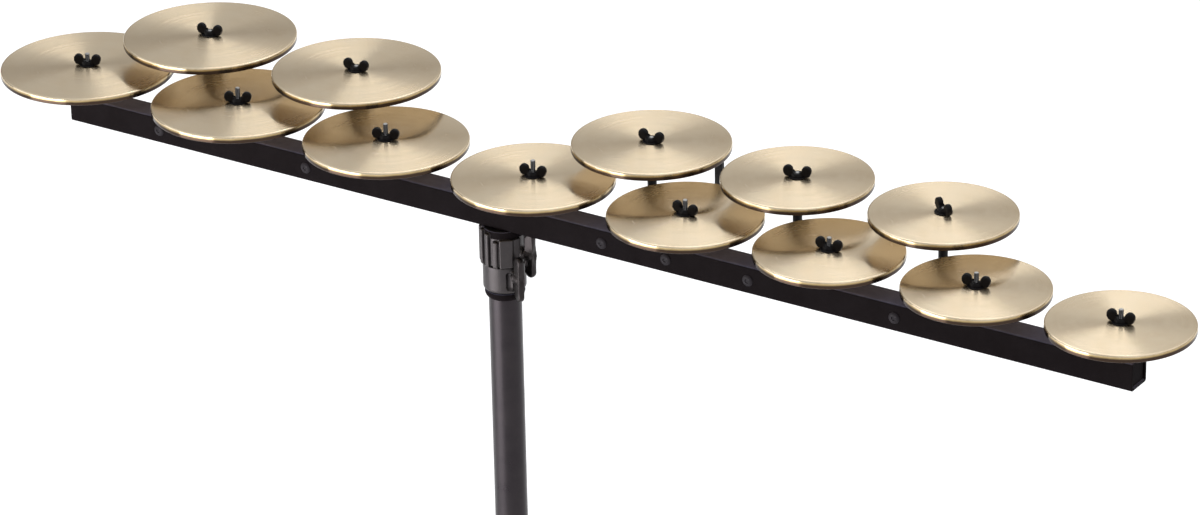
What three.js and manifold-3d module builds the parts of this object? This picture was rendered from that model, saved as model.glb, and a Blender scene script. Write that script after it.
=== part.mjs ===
// A one-octave set of crotales: thirteen bronze discs on a square steel bar, carried by a folding tripod stand.
// Millimetres. +X runs along the bar towards the high notes, +Y to the back, +Z up, with z = 0 on the floor.
// The origin is on the floor, under the bar's centre line, midway between the outermost disc rims.

import * as THREE from 'three';
import { mergeVertices } from 'three/addons/utils/BufferGeometryUtils.js';
import Module from 'manifold-3d';

const wasm = await Module();
wasm.setup();

// Fits
const seatGap = 0.3; // between two faces that rest on each other
const runningClearance = 0.45; // between a shaft and the hole it turns in
const overrun = 1; // how far a cutter or a joined piece reaches past the face it meets

// Discs: each radius is its share of the low C's
const lowDiscRadius = 67.2;
const discThickness = 5.5;
const discBevel = 0.7;
const bossRadius = 8;
const bossHeight = 8.5;
const rimGap = 9.2;
const rimGapShares = [1.15, 0.86, 0.88, 1.4, 0.84, 1.13, 0.74];
const playingHeight = 950; // top faces of the natural discs above the floor
const accidentalRise = 19.8; // sharps above naturals
const accidentalSetback = 58.7; // sharps behind naturals

// Bar
const barWidth = 21.4;
const barWall = 2;
const barDrop = 23.9; // natural discs' top faces to the bar's top face
const barOverhangLow = 11.2;
const barOverhangHigh = 15.2;
const endPlateInset = 1.2;

// Studs, posts and wing nuts
const shankRadius = 2.1; // threaded part through the disc
const postRadius = 3.5; // bent rods that carry the sharps
const studRadius = 3.5; // stud through the bar's top wall
const tipHeight = 10; // stud above the disc's top face, times its tip share
const tipChamfer = 0.6;
const seatFlangeRadius = 8;
const seatFlangeThickness = 2;
const neckRadius = 5;
const baseNutRadius = 7.4;
const baseNutThickness = 4;
const studDepth = 9; // stud below the bar's top face
const postBendRadius = 12;
const nutFlangeRadius = 9.6;
const nutFlangeThickness = 1;
const nutHubRadius = 4.8;
const nutHubTopRadius = 3.9;
const nutHubHeight = 3.4;
const earReach = 10.5; // ear tip from the stud's axis
const earRadius = 3.4;
const earThickness = 3;
const earTop = 7.2; // ear tip above the disc's top face

// Rear bracket between the F sharp and the G sharp
const bracketSetback = 80;
const bracketPlateThickness = 3;
const bracketPlateWidth = 26.4;
const bracketTongueWidth = 6.4;
const bracketPlateRise = 12; // plate's shoulder above the bar's top face
const bracketTongueRise = 36; // tongue above the bar's top face
const bracketPlateDrop = 30; // plate below the bar's top face
const bracketCorner = 2;
const bracketFromG = -10.5; // arm from the G disc's centre, along the bar

// Socket under the bar, and the column
const standFromLowNote = 384.2; // column's axis from the low C's centre
const socketHeight = 28.4;
const socketCoreRadius = 15.6;
const socketRibRadius = 18.3;
const socketRibWidth = 4;
const socketPadWidth = 10;
const socketPadReach = 17; // flat pad's face from the column's axis
const socketBoreDepth = 23;
const rodRadius = 9.3;
const heightTravel = 280;
const rodEngagement = 98; // rod left inside the tube at full height
const tubeRadius = 12.35;
const tubeWall = 1.5;
const collarHeight = 21.5;
const collarRadius = 16.2;
const collarLip = 4; // part of the collar above the tube's end
const collarChamfer = 1.6;
const pocketRadius = 2.8; // oval pocket in the collar, beside its wing bolt
const pocketDepth = 1.6;

// Wing bolts on the socket, the collar and the leg hub
const boltRadius = 3;
const boltBossRadius = 4.8;
const socketBossLength = 0.3;
const collarBossLength = 1.9;
const hubBossLength = 4;
const boltShoulderRadius = 4.6;
const boltShoulderLength = 0.8;
const wingSpan = 36;
const wingBarClearance = 1.7; // wing's tip below the bar
const collarBoltDrop = 7; // bolt below the collar's top face
const wingEarRadius = 4;
const wingWaist = 4.6;
const wingThickness = 5;

// Tripod
const legLength = 400;
const legSplay = THREE.MathUtils.degToRad(55); // open legs from the vertical
const braceLength = 150;
const pivotRadius = 28; // leg and brace pivots from the column's axis
const stripWidth = 15;
const stripThickness = 2.5;
const lugThickness = 10;
const pivotPinRadius = 2.6;
const pinHeadRadius = 4.2;
const pinHeadHeight = 1.2;
const spacerRadius = 4;
const spacerFromFoot = 34;
const hubRadius = 17;
const hubHeight = 36;
const hubLugRadius = 7;
const legEndHeight = 13; // centre of a leg's lower end above the floor
const braceWidth = 13;
const braceThickness = 4;
const cheekThickness = 2.6;
const braceHubRadius = 16.5;
const braceHubHeight = 26;
const braceHubFloor = 3;
const footRadius = 13.5;
const footSleeveLength = 30;
const footNose = 5;
const footPadHeight = 7;

// Counts of facets
const discSides = 24;
const boltSides = 8;
const nutSides = 10;
const columnSides = 16;
const socketRibs = 11;

const quarterTurn = Math.PI / 2;
const naturals = [
  { note: 'c_low', radiusShare: 1, tipShare: 0.85, nutTurn: 23 },
  { note: 'd', radiusShare: 0.985, tipShare: 1.1, nutTurn: 24 },
  { note: 'e', radiusShare: 0.93, tipShare: 1.15, nutTurn: 18 },
  { note: 'f', radiusShare: 0.905, tipShare: 1.15, nutTurn: 10 },
  { note: 'g', radiusShare: 0.854, tipShare: 1, nutTurn: -4 },
  { note: 'a', radiusShare: 0.815, tipShare: 0.85, nutTurn: 2 },
  { note: 'b', radiusShare: 0.796, tipShare: 0.95, nutTurn: 10 },
  { note: 'c_high', radiusShare: 0.784, tipShare: 0.9, nutTurn: 2 },
];
const sharps = [
  { note: 'c_sharp', radiusShare: 0.996, tipShare: 0.38, nutTurn: 9, after: 0, betweenShare: 0.52 },
  { note: 'd_sharp', radiusShare: 0.958, tipShare: 0.38, nutTurn: 6, after: 1, betweenShare: 0.505 },
  { note: 'f_sharp', radiusShare: 0.882, tipShare: 0.38, nutTurn: 0, after: 3, betweenShare: 0.5 },
  { note: 'g_sharp', radiusShare: 0.833, tipShare: 0.38, nutTurn: 15, after: 4, betweenShare: 0.49 },
  { note: 'a_sharp', radiusShare: 0.804, tipShare: 0.38, nutTurn: -34, after: 5, betweenShare: 0.5 },
];
const legTurns = [180, 60, -60].map(THREE.MathUtils.degToRad);
const collarBoltTurn = THREE.MathUtils.degToRad(-28);
const pocketTurn = THREE.MathUtils.degToRad(-44);
const socketPadTurn = THREE.MathUtils.degToRad(-50);
const socketRibTurn = THREE.MathUtils.degToRad(-78);
const socketRibStep = THREE.MathUtils.degToRad(-24.5);

// Places that follow from the sizes
const discRadius = ({ radiusShare }) => lowDiscRadius * radiusShare;

function placeNaturals() {
  const places = [0];
  for (let i = 1; i < naturals.length; i += 1) {
    const reach = discRadius(naturals[i - 1]) + discRadius(naturals[i]);
    places.push(places[i - 1] + reach + rimGap * rimGapShares[i - 1]);
  }
  const shift = (places.at(-1) + discRadius(naturals.at(-1)) - lowDiscRadius) / 2;
  return places.map((x) => x - shift);
}

const naturalX = placeNaturals();
const sharpX = sharps.map(
  ({ after, betweenShare }) => naturalX[after] + betweenShare * (naturalX[after + 1] - naturalX[after]),
);
const barTop = playingHeight - barDrop;
const barBottom = barTop - barWidth;
const barMiddle = barTop - barWidth / 2;
const barStart = naturalX[0] - barOverhangLow;
const barEnd = naturalX.at(-1) + barOverhangHigh;
const discBore = shankRadius + runningClearance;
const studHoleRadius = studRadius + runningClearance;
const armHoleRadius = postRadius + runningClearance;
const columnX = naturalX[0] + standFromLowNote;
const socketTop = barBottom - seatGap;
const socketBottom = socketTop - socketHeight;
const collarTop = socketBottom - seatGap;
const collarBottom = collarTop - collarHeight;
const tubeTop = collarTop - collarLip - seatGap;
const rodTop = socketBottom + socketBoreDepth - seatGap;
const socketBoltHeight = barBottom - wingBarClearance - wingSpan / 2;
const collarBoltHeight = collarTop - collarBoltDrop;
const socketBossReach = socketRibRadius + socketBossLength;
const collarBossReach = collarRadius + collarBossLength;
const hubBossReach = hubRadius + hubBossLength;
const hubPivotHeight = legEndHeight + legLength * Math.cos(legSplay);
const bracePivotHeight = hubPivotHeight - 2 * braceLength * Math.cos(legSplay);
const hubBottom = hubPivotHeight - hubHeight / 2;
const braceHubBottom = bracePivotHeight - braceHubHeight / 2;
const tubeBottom = braceHubBottom + braceHubFloor + seatGap;
const stripOffset = lugThickness / 2 + seatGap;

// Materials
const metal = (color, roughness, metalness) => new THREE.MeshStandardMaterial({ color, roughness, metalness });
const bronze = () => metal(0xcdb78a, 0.3, 1);
const blackPaint = () => metal(0x241f21, 0.5, 0.3);
const blackSteel = () => metal(0x1b191b, 0.4, 0.7);
const greySteel = () => metal(0x3b383d, 0.4, 0.6);
const rubber = () => metal(0x161616, 0.9, 0);

// Solids
function solid(geometry) {
  const bare = geometry.index ? geometry.toNonIndexed() : geometry;
  bare.deleteAttribute('normal');
  bare.deleteAttribute('uv');
  const merged = mergeVertices(bare, 1e-4);
  const points = merged.attributes.position.array;
  const faces = [];
  let volume = 0;
  const corner = (i) => new THREE.Vector3().fromArray(points, 3 * i);
  for (let i = 0; i < merged.index.count; i += 3) {
    const [a, b, c] = merged.index.array.slice(i, i + 3);
    if (a === b || b === c || c === a) continue;
    faces.push(a, b, c);
    volume += corner(a).dot(corner(b).cross(corner(c)));
  }
  if (volume < 0) faces.reverse();
  const mesh = new wasm.Mesh({
    numProp: 3,
    vertProperties: Float32Array.from(points),
    triVerts: Uint32Array.from(faces),
  });
  return new wasm.Manifold(mesh);
}

const join = (...parts) => parts.reduce((whole, part) => whole.add(part));
const cut = (whole, ...parts) => parts.reduce((rest, part) => rest.subtract(part), whole);

// Turns a profile of [radius, height] pairs about Z
function turned(profile, sides) {
  const points = profile.map(([radius, height]) => new THREE.Vector2(radius, height));
  return new THREE.LatheGeometry(points, sides).rotateX(quarterTurn);
}

// A rod or a bore about Z between two heights
function round(radius, low, high, sides) {
  return turned([[0, low], [radius, low], [radius, high], [0, high]], sides);
}

// A tube about Z, its profile closed on itself
function ring(outer, inner, low, high, sides) {
  return turned([[inner, low], [outer, low], [outer, high], [inner, high], [inner, low]], sides);
}

function block(width, depth, low, high) {
  return new THREE.BoxGeometry(width, depth, high - low).translate(0, 0, (low + high) / 2);
}

// A flat outline in the XZ plane, given a thickness centred on y = 0
function plate(outline, thickness, curveSegments = 4) {
  const geometry = new THREE.ExtrudeGeometry(outline, { depth: thickness, bevelEnabled: false, curveSegments });
  return geometry.translate(0, 0, -thickness / 2).rotateX(quarterTurn);
}

// A bar with round ends, from the origin along X
function link(length, width) {
  const outline = new THREE.Shape();
  outline.absarc(0, 0, width / 2, quarterTurn, 3 * quarterTurn, false);
  outline.absarc(length, 0, width / 2, -quarterTurn, quarterTurn, false);
  return outline;
}

// A round rod along a path in the YZ plane, with each ring on the bisecting plane of its corner
function bentRod(path, radius, sides) {
  const vertices = [];
  const faces = [];
  path.forEach((point, i) => {
    const before = path[Math.max(i - 1, 0)];
    const after = path[Math.min(i + 1, path.length - 1)];
    const into = point.clone().sub(before).normalize();
    const out = after.clone().sub(point).normalize();
    const along = into.clone().add(out).normalize();
    const stretch = 1 / Math.max(along.dot(i ? into : out), 0.1);
    for (let k = 0; k < sides; k += 1) {
      const angle = (2 * Math.PI * k) / sides;
      const side = radius * stretch * Math.sin(angle);
      vertices.push(radius * Math.cos(angle), point.x - along.y * side, point.y + along.x * side);
    }
  });
  for (let i = 0; i + 1 < path.length; i += 1) {
    for (let k = 0; k < sides; k += 1) {
      const a = i * sides + k;
      const b = i * sides + ((k + 1) % sides);
      faces.push(a, b, a + sides, b, b + sides, a + sides);
    }
  }
  const last = (path.length - 1) * sides;
  for (let k = 1; k + 1 < sides; k += 1) {
    faces.push(0, k + 1, k, last, last + k, last + k + 1);
  }
  const geometry = new THREE.BufferGeometry();
  geometry.setAttribute('position', new THREE.Float32BufferAttribute(vertices, 3));
  geometry.setIndex(faces);
  return geometry;
}

// A line back from the bar's front face, then a bend upwards
function archPath(setback, top) {
  const path = [new THREE.Vector2(-barWidth / 2, barMiddle)];
  const steps = 4;
  for (let i = 0; i <= steps; i += 1) {
    const angle = (quarterTurn * i) / steps;
    path.push(
      new THREE.Vector2(
        setback - postBendRadius + postBendRadius * Math.sin(angle),
        barMiddle + postBendRadius - postBendRadius * Math.cos(angle),
      ),
    );
  }
  path.push(new THREE.Vector2(setback, top));
  return path;
}

// Pieces
function disc(radius) {
  const underside = -discThickness;
  const bossEnd = underside - bossHeight;
  const profile = [
    [discBore, 0],
    [radius - discBevel, 0],
    [radius, -discBevel],
    [radius, underside],
    [bossRadius, underside],
    [bossRadius, bossEnd],
    [discBore, bossEnd],
    [discBore, 0],
  ];
  return solid(turned(profile, discSides));
}

function ear(side) {
  const outline = new THREE.Shape();
  const inner = (nutHubRadius + discBore) / 2;
  const centreX = earReach - earRadius;
  const centreZ = earTop - earRadius;
  outline.moveTo(inner, nutFlangeThickness / 2);
  outline.absarc(centreX, centreZ, earRadius, -quarterTurn * 0.7, quarterTurn * 1.5, false);
  outline.lineTo(inner, nutHubHeight - tipChamfer);
  return solid(plate(outline, earThickness, 3).rotateZ(side));
}

function wingNut() {
  const bore = shankRadius + runningClearance;
  const hub = solid(
    turned(
      [
        [bore, 0],
        [nutFlangeRadius, 0],
        [nutFlangeRadius, nutFlangeThickness],
        [nutHubRadius, nutFlangeThickness],
        [nutHubTopRadius, nutHubHeight],
        [bore, nutHubHeight],
        [bore, 0],
      ],
      nutSides,
    ),
  );
  return join(hub, ear(0), ear(Math.PI));
}

// The part of a stud or post that carries a disc, with z = 0 on the disc's top face
function discSeat(neckBottom, tipShare) {
  const tip = tipHeight * tipShare;
  const seat = -discThickness - bossHeight - seatGap;
  const flangeBottom = seat - seatFlangeThickness;
  return [
    [neckRadius, neckBottom],
    [neckRadius, flangeBottom],
    [seatFlangeRadius, flangeBottom],
    [seatFlangeRadius, seat],
    [shankRadius, seat],
    [shankRadius, tip - tipChamfer],
    [shankRadius - tipChamfer, tip],
    [0, tip],
  ];
}

function stud(tipShare) {
  const baseBottom = -barDrop + seatGap;
  const baseTop = baseBottom + baseNutThickness;
  return solid(
    turned(
      [
        [0, -barDrop - studDepth],
        [studRadius, -barDrop - studDepth],
        [studRadius, baseBottom],
        [baseNutRadius, baseBottom],
        [baseNutRadius, baseTop],
        ...discSeat(baseTop, tipShare),
      ],
      boltSides,
    ),
  );
}

// The nut that locks an arm against the bar's rear face
function lockNut() {
  const low = barWidth / 2 + seatGap;
  const nut = round(baseNutRadius, low, low + baseNutThickness, boltSides);
  return solid(nut.rotateX(-quarterTurn).translate(0, 0, barMiddle));
}

function post(tipShare) {
  const discTop = playingHeight + accidentalRise;
  const neckBottom = -discThickness - bossHeight - seatGap - 2 * seatFlangeThickness;
  const head = turned([[0, neckBottom], ...discSeat(neckBottom, tipShare)], boltSides);
  head.translate(0, accidentalSetback, discTop);
  const rod = bentRod(archPath(accidentalSetback, discTop + neckBottom + overrun), postRadius, boltSides);
  return join(solid(rod), solid(head), lockNut());
}

function rearBracket() {
  const reach = bracketSetback - bracketPlateThickness / 2;
  const arm = round(postRadius, -barWidth / 2, reach + overrun, boltSides);
  arm.rotateX(-quarterTurn).translate(0, 0, barMiddle);
  const left = -bracketPlateWidth / 2;
  const right = bracketPlateWidth / 2;
  const tongue = left + bracketTongueWidth;
  const outline = new THREE.Shape();
  outline.moveTo(left + bracketCorner, -bracketPlateDrop);
  outline.lineTo(right - bracketCorner, -bracketPlateDrop);
  outline.lineTo(right, -bracketPlateDrop + bracketCorner);
  outline.lineTo(right, bracketPlateRise - bracketCorner);
  outline.lineTo(right - bracketCorner, bracketPlateRise);
  outline.lineTo(tongue + bracketCorner, bracketPlateRise);
  outline.lineTo(tongue, bracketPlateRise + bracketCorner);
  outline.lineTo(tongue, bracketTongueRise);
  outline.lineTo(left, bracketTongueRise);
  outline.lineTo(left, -bracketPlateDrop + bracketCorner);
  const face = plate(outline, bracketPlateThickness).translate(0, bracketSetback, barTop);
  return join(solid(arm), solid(face), lockNut());
}

function bar() {
  const length = barEnd - barStart;
  const middle = (barStart + barEnd) / 2;
  const inside = barWidth - 2 * barWall;
  const chamber = length - 2 * (endPlateInset + barWall);
  const tube = solid(block(length, barWidth, barBottom, barTop).translate(middle, 0, 0));
  const hollow = solid(block(chamber, inside, barBottom + barWall, barTop - barWall).translate(middle, 0, 0));
  const mouths = [barStart, barEnd].map((x) =>
    solid(block(2 * endPlateInset, inside, barBottom + barWall, barTop - barWall).translate(x, 0, 0)),
  );
  const studHoles = naturalX.map((x) =>
    solid(round(studHoleRadius, barTop - barWall - overrun, barTop + overrun, boltSides).translate(x, 0, 0)),
  );
  const armX = [...sharpX, naturalX[4] + bracketFromG];
  const armHoles = armX.map((x) => {
    const hole = round(armHoleRadius, -barWidth / 2 - overrun, barWidth / 2 + overrun, boltSides);
    return solid(hole.rotateX(-quarterTurn).translate(x, 0, barMiddle));
  });
  return cut(tube, hollow, ...mouths, ...studHoles, ...armHoles);
}

// A boss pointing along X for a wing bolt, and the hole through it
function boltBoss(reach, height) {
  const boss = round(boltBossRadius, 0, reach, boltSides);
  return solid(boss.rotateY(quarterTurn).translate(0, 0, height));
}

function boltHole(reach, height) {
  const hole = round(boltRadius + runningClearance, 0, reach + overrun, boltSides);
  return solid(hole.rotateY(quarterTurn).translate(0, 0, height));
}

// A wing bolt along X, screwed into a boss that ends at reach
function wingBolt(reach, tip) {
  const shoulder = reach + seatGap;
  const wingStart = shoulder + boltShoulderLength;
  const shaft = turned(
    [
      [0, tip],
      [boltRadius, tip],
      [boltRadius, shoulder],
      [boltShoulderRadius, shoulder],
      [boltShoulderRadius, wingStart + overrun],
      [0, wingStart + overrun],
    ],
    boltSides,
  ).rotateY(quarterTurn);
  const earCentre = wingSpan / 2 - wingEarRadius;
  const outline = new THREE.Shape();
  const middle = wingStart + wingEarRadius;
  outline.absarc(middle, earCentre, wingEarRadius, 0, quarterTurn * 2, false);
  outline.lineTo(middle - wingEarRadius, wingWaist);
  outline.lineTo(middle - wingEarRadius, -wingWaist);
  outline.absarc(middle, -earCentre, wingEarRadius, -quarterTurn * 2, 0, false);
  outline.lineTo(middle + wingWaist - wingEarRadius / 2, 0);
  return join(solid(shaft), solid(plate(outline, wingThickness)));
}

// The casting under the bar: ribs all round, but for a flat pad at its front
function socket() {
  const core = solid(round(socketCoreRadius, socketBottom, socketTop, columnSides));
  const ribs = Array.from({ length: socketRibs }, (_, i) => {
    const rib = block(socketRibRadius, socketRibWidth, socketBottom, socketTop);
    return solid(rib.translate(socketRibRadius / 2, 0, 0).rotateZ(socketRibTurn + socketRibStep * i));
  });
  const slabOfPad = block(socketPadReach, socketPadWidth, socketBottom, socketTop);
  const pad = solid(slabOfPad.translate(socketPadReach / 2, 0, 0).rotateZ(socketPadTurn));
  const boreTop = socketBottom + socketBoreDepth;
  const bore = round(rodRadius + runningClearance, socketBottom - overrun, boreTop, columnSides);
  const body = join(core, pad, ...ribs, boltBoss(socketBossReach, socketBoltHeight));
  return cut(body, solid(bore), boltHole(socketBossReach, socketBoltHeight));
}

function rod() {
  const low = tubeTop - heightTravel - rodEngagement;
  return solid(round(rodRadius, low, rodTop, columnSides));
}

function collar() {
  const profile = [
    [0, collarBottom],
    [collarRadius - collarChamfer, collarBottom],
    [collarRadius, collarBottom + collarChamfer],
    [collarRadius, collarTop],
    [0, collarTop],
  ];
  const rim = 2 * collarChamfer;
  const hollow = round(pocketRadius, collarBottom + rim, collarTop - rim, boltSides);
  const pocket = hollow.translate(collarRadius + pocketRadius - pocketDepth, 0, 0).rotateZ(pocketTurn);
  const seatTop = collarTop - collarLip;
  const tubeSeat = round(tubeRadius + runningClearance, collarBottom - overrun, seatTop, columnSides);
  const rodHole = round(rodRadius + runningClearance, collarBottom, collarTop + overrun, columnSides);
  const atBolt = [0, 0, THREE.MathUtils.radToDeg(collarBoltTurn)];
  const boss = boltBoss(collarBossReach, collarBoltHeight).rotate(atBolt);
  const hole = boltHole(collarBossReach, collarBoltHeight).rotate(atBolt);
  const body = join(solid(turned(profile, columnSides)), boss);
  return cut(body, solid(pocket), solid(tubeSeat), solid(rodHole), hole);
}

function outerTube() {
  const tube = solid(ring(tubeRadius, tubeRadius - tubeWall, tubeBottom, tubeTop, columnSides));
  const atBolt = [0, 0, THREE.MathUtils.radToDeg(collarBoltTurn)];
  return cut(tube, boltHole(tubeRadius, collarBoltHeight).rotate(atBolt));
}

// A lug for a pivot pin, standing out from the column's axis along X
function lug(thickness, offset, height) {
  const arm = plate(link(pivotRadius, 2 * hubLugRadius), thickness, 3).translate(0, offset, height);
  const hole = round(pivotPinRadius + runningClearance, -lugThickness, lugThickness, boltSides);
  hole.rotateX(quarterTurn).translate(pivotRadius, 0, height);
  return cut(solid(arm), solid(hole));
}

function legHub() {
  const sleeve = solid(round(hubRadius, hubBottom, hubBottom + hubHeight, columnSides));
  const lugs = legTurns.map((turn) =>
    lug(lugThickness, 0, hubPivotHeight).rotate([0, 0, THREE.MathUtils.radToDeg(turn)]),
  );
  const hubTop = hubBottom + hubHeight;
  const bore = round(tubeRadius + runningClearance, hubBottom - overrun, hubTop + overrun, columnSides);
  const body = join(sleeve, ...lugs, boltBoss(hubBossReach, hubPivotHeight));
  return cut(body, solid(bore), boltHole(hubBossReach, hubPivotHeight));
}

function braceHub() {
  const sleeve = solid(round(braceHubRadius, braceHubBottom, braceHubBottom + braceHubHeight, columnSides));
  const offset = braceThickness / 2 + seatGap + cheekThickness / 2;
  const cheeks = legTurns.flatMap((turn) =>
    [-offset, offset].map((side) =>
      lug(cheekThickness, side, bracePivotHeight).rotate([0, 0, THREE.MathUtils.radToDeg(turn)]),
    ),
  );
  const bore = round(tubeRadius + runningClearance, braceHubBottom + braceHubFloor, hubBottom, columnSides);
  return cut(join(sleeve, ...cheeks), solid(bore));
}

// A pin across a leg or brace, with a head at each end, centred on the pivot
function pivotPin(grip) {
  const half = grip / 2;
  const profile = [
    [0, -half - pinHeadHeight],
    [pinHeadRadius, -half - pinHeadHeight],
    [pinHeadRadius, -half],
    [pivotPinRadius, -half],
    [pivotPinRadius, half],
    [pinHeadRadius, half],
    [pinHeadRadius, half + pinHeadHeight],
    [0, half + pinHeadHeight],
  ];
  return solid(turned(profile, boltSides).rotateX(quarterTurn));
}

// A leg along X from its pivot: two strips held apart by the pin and a spacer
function leg() {
  const offset = stripOffset + stripThickness / 2;
  const strips = [-offset, offset].map((side) =>
    solid(plate(link(legLength, stripWidth), stripThickness).translate(0, side, 0)),
  );
  const spacer = round(spacerRadius, -offset, offset, boltSides).rotateX(quarterTurn);
  spacer.translate(legLength - spacerFromFoot, 0, 0);
  return join(...strips, pivotPin(2 * (stripOffset + stripThickness)), solid(spacer));
}

// A brace along X from its pivot on the column, with a wide eye where it meets the leg
function brace() {
  const bar = solid(plate(link(braceLength, braceWidth), braceThickness));
  const eye = round(braceWidth / 2, -lugThickness / 2, lugThickness / 2, boltSides).rotateX(quarterTurn);
  const cheekGrip = braceThickness + 2 * (2 * seatGap + cheekThickness);
  return join(bar, solid(eye.translate(braceLength, 0, 0)), pivotPin(cheekGrip));
}

// A rubber foot about a leg's lower end, in the leg's own frame before it is tilted
function foot() {
  const start = legLength - footSleeveLength;
  const sleeve = round(footRadius, start, legLength + footNose, columnSides).rotateY(quarterTurn);
  const tilted = solid(sleeve).rotate([0, THREE.MathUtils.radToDeg(quarterTurn - legSplay), 0]);
  const endX = legLength * Math.sin(legSplay);
  const placed = tilted.translate([pivotRadius, 0, hubPivotHeight]);
  const pad = round(footRadius, 0, footPadHeight, columnSides).translate(pivotRadius + endX, 0, 0);
  const slot = plate(link(legLength, stripWidth + 2 * seatGap), 2 * (stripOffset + stripThickness + seatGap));
  const pocket = solid(slot)
    .rotate([0, THREE.MathUtils.radToDeg(quarterTurn - legSplay), 0])
    .translate([pivotRadius, 0, hubPivotHeight]);
  const ground = solid(block(legLength, legLength, -legLength, 0).translate(pivotRadius + endX, 0, 0));
  return cut(join(placed, solid(pad)), pocket, ground);
}

// Assembly
const crotales = new THREE.Group();

function add(name, shape, material, parent = crotales) {
  const { vertProperties, triVerts } = shape.getMesh();
  const geometry = new THREE.BufferGeometry();
  geometry.setAttribute('position', new THREE.BufferAttribute(vertProperties, 3));
  geometry.setIndex(new THREE.BufferAttribute(triVerts, 1));
  geometry.computeVertexNormals();
  const mesh = new THREE.Mesh(geometry, material);
  mesh.name = name;
  parent.add(mesh);
  return mesh;
}

function addNote({ note, nutTurn, ...sizes }, x, y, top) {
  add(`disc_${note}`, disc(discRadius(sizes)), bronze()).position.set(x, y, top);
  const nut = add(`wing_nut_${note}`, wingNut(), blackSteel());
  nut.position.set(x, y, top + seatGap);
  nut.rotation.z = THREE.MathUtils.degToRad(nutTurn);
}

naturals.forEach((natural, i) => {
  addNote(natural, naturalX[i], 0, playingHeight);
  add(`stud_${natural.note}`, stud(natural.tipShare), blackSteel()).position.set(naturalX[i], 0, playingHeight);
});
sharps.forEach((sharp, i) => {
  addNote(sharp, sharpX[i], accidentalSetback, playingHeight + accidentalRise);
  add(`post_${sharp.note}`, post(sharp.tipShare), blackSteel()).position.x = sharpX[i];
});
add('bar', bar(), blackPaint());
add('rear_bracket', rearBracket(), blackSteel()).position.x = naturalX[4] + bracketFromG;

const column = new THREE.Group();
column.position.x = columnX;
crotales.add(column);
add('bar_socket', socket(), greySteel(), column);
add('height_rod', rod(), blackSteel(), column);
add('tube_collar', collar(), greySteel(), column);
add('column_tube', outerTube(), greySteel(), column);
add('leg_hub', legHub(), greySteel(), column);
add('brace_hub', braceHub(), greySteel(), column);
const boltTip = rodRadius + runningClearance;
add('socket_bolt', wingBolt(socketBossReach, boltTip), blackSteel(), column).position.z = socketBoltHeight;
const collarBolt = add('collar_bolt', wingBolt(collarBossReach, boltTip), blackSteel(), column);
collarBolt.position.z = collarBoltHeight;
collarBolt.rotation.z = collarBoltTurn;
add('hub_bolt', wingBolt(hubBossReach, tubeRadius + seatGap), blackSteel(), column).position.z = hubPivotHeight;

legTurns.forEach((turn, i) => {
  const side = new THREE.Group();
  side.rotation.z = turn;
  column.add(side);
  const legMesh = add(`leg_${i + 1}`, leg(), greySteel(), side);
  legMesh.position.set(pivotRadius, 0, hubPivotHeight);
  legMesh.rotation.y = quarterTurn - legSplay;
  const braceMesh = add(`brace_${i + 1}`, brace(), greySteel(), side);
  braceMesh.position.set(pivotRadius, 0, bracePivotHeight);
  braceMesh.rotation.y = legSplay - quarterTurn;
  add(`foot_${i + 1}`, foot(), rubber(), side);
});

export default crotales;
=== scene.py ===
"""The looks of a one-octave set of crotales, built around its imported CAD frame.

Shapes and measures are in millimetres and degrees. Lamps and the lengths inside materials are in metres.
"""

import math

import bmesh
import bpy
from mathutils import Matrix, Vector


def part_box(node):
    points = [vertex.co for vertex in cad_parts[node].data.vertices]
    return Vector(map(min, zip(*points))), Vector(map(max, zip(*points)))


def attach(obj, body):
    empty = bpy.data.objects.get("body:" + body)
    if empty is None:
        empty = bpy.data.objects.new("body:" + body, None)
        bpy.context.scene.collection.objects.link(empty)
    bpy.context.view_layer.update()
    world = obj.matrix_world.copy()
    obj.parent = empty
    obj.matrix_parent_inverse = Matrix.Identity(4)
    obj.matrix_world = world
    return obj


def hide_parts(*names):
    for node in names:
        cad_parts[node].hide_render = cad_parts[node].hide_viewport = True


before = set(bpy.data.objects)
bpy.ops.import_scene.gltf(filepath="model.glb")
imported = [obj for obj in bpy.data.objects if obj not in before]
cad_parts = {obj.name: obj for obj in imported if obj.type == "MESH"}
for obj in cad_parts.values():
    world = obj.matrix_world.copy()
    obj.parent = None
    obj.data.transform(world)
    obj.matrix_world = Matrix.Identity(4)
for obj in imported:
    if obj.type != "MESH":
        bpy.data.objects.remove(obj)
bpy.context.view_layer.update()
scene = bpy.context.scene

MM = 0.001
NATURALS = ("c_low", "d", "e", "f", "g", "a", "b", "c_high")
SHARPS = ("c_sharp", "d_sharp", "f_sharp", "g_sharp", "a_sharp")
NUT_TURNS = dict(zip(NATURALS + SHARPS, (23, 24, 18, 10, -4, 2, 10, 2, 9, 6, 0, 15, -34)))

# Discs and what holds them. SEAT is the height of the seats, from a disc's top face.
DISC_THICKNESS, DISC_BORE, DISC_RIM = 5.5, 2.5, 1.4
BOSS_RADIUS, BOSS_HEIGHT = 8.0, 8.5
SEAT_GAP = 0.3
SEAT = -DISC_THICKNESS - BOSS_HEIGHT - SEAT_GAP
SHANK_RADIUS = 1.9
THREAD_PITCH, THREAD_DEPTH, THREAD_CHAMFER, ROWS_PER_PITCH = 0.8, 0.32, 0.6, 6
THREAD_START, NATURAL_TIP_RISE, SHARP_TIP = -2, 1.2, 3.8
NUT_ACROSS, NUT_HEIGHT = 12.6, 4.0
CORNER_START, CORNER_SLOPE = 0.97, 0.6
CREASE = 38

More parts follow.
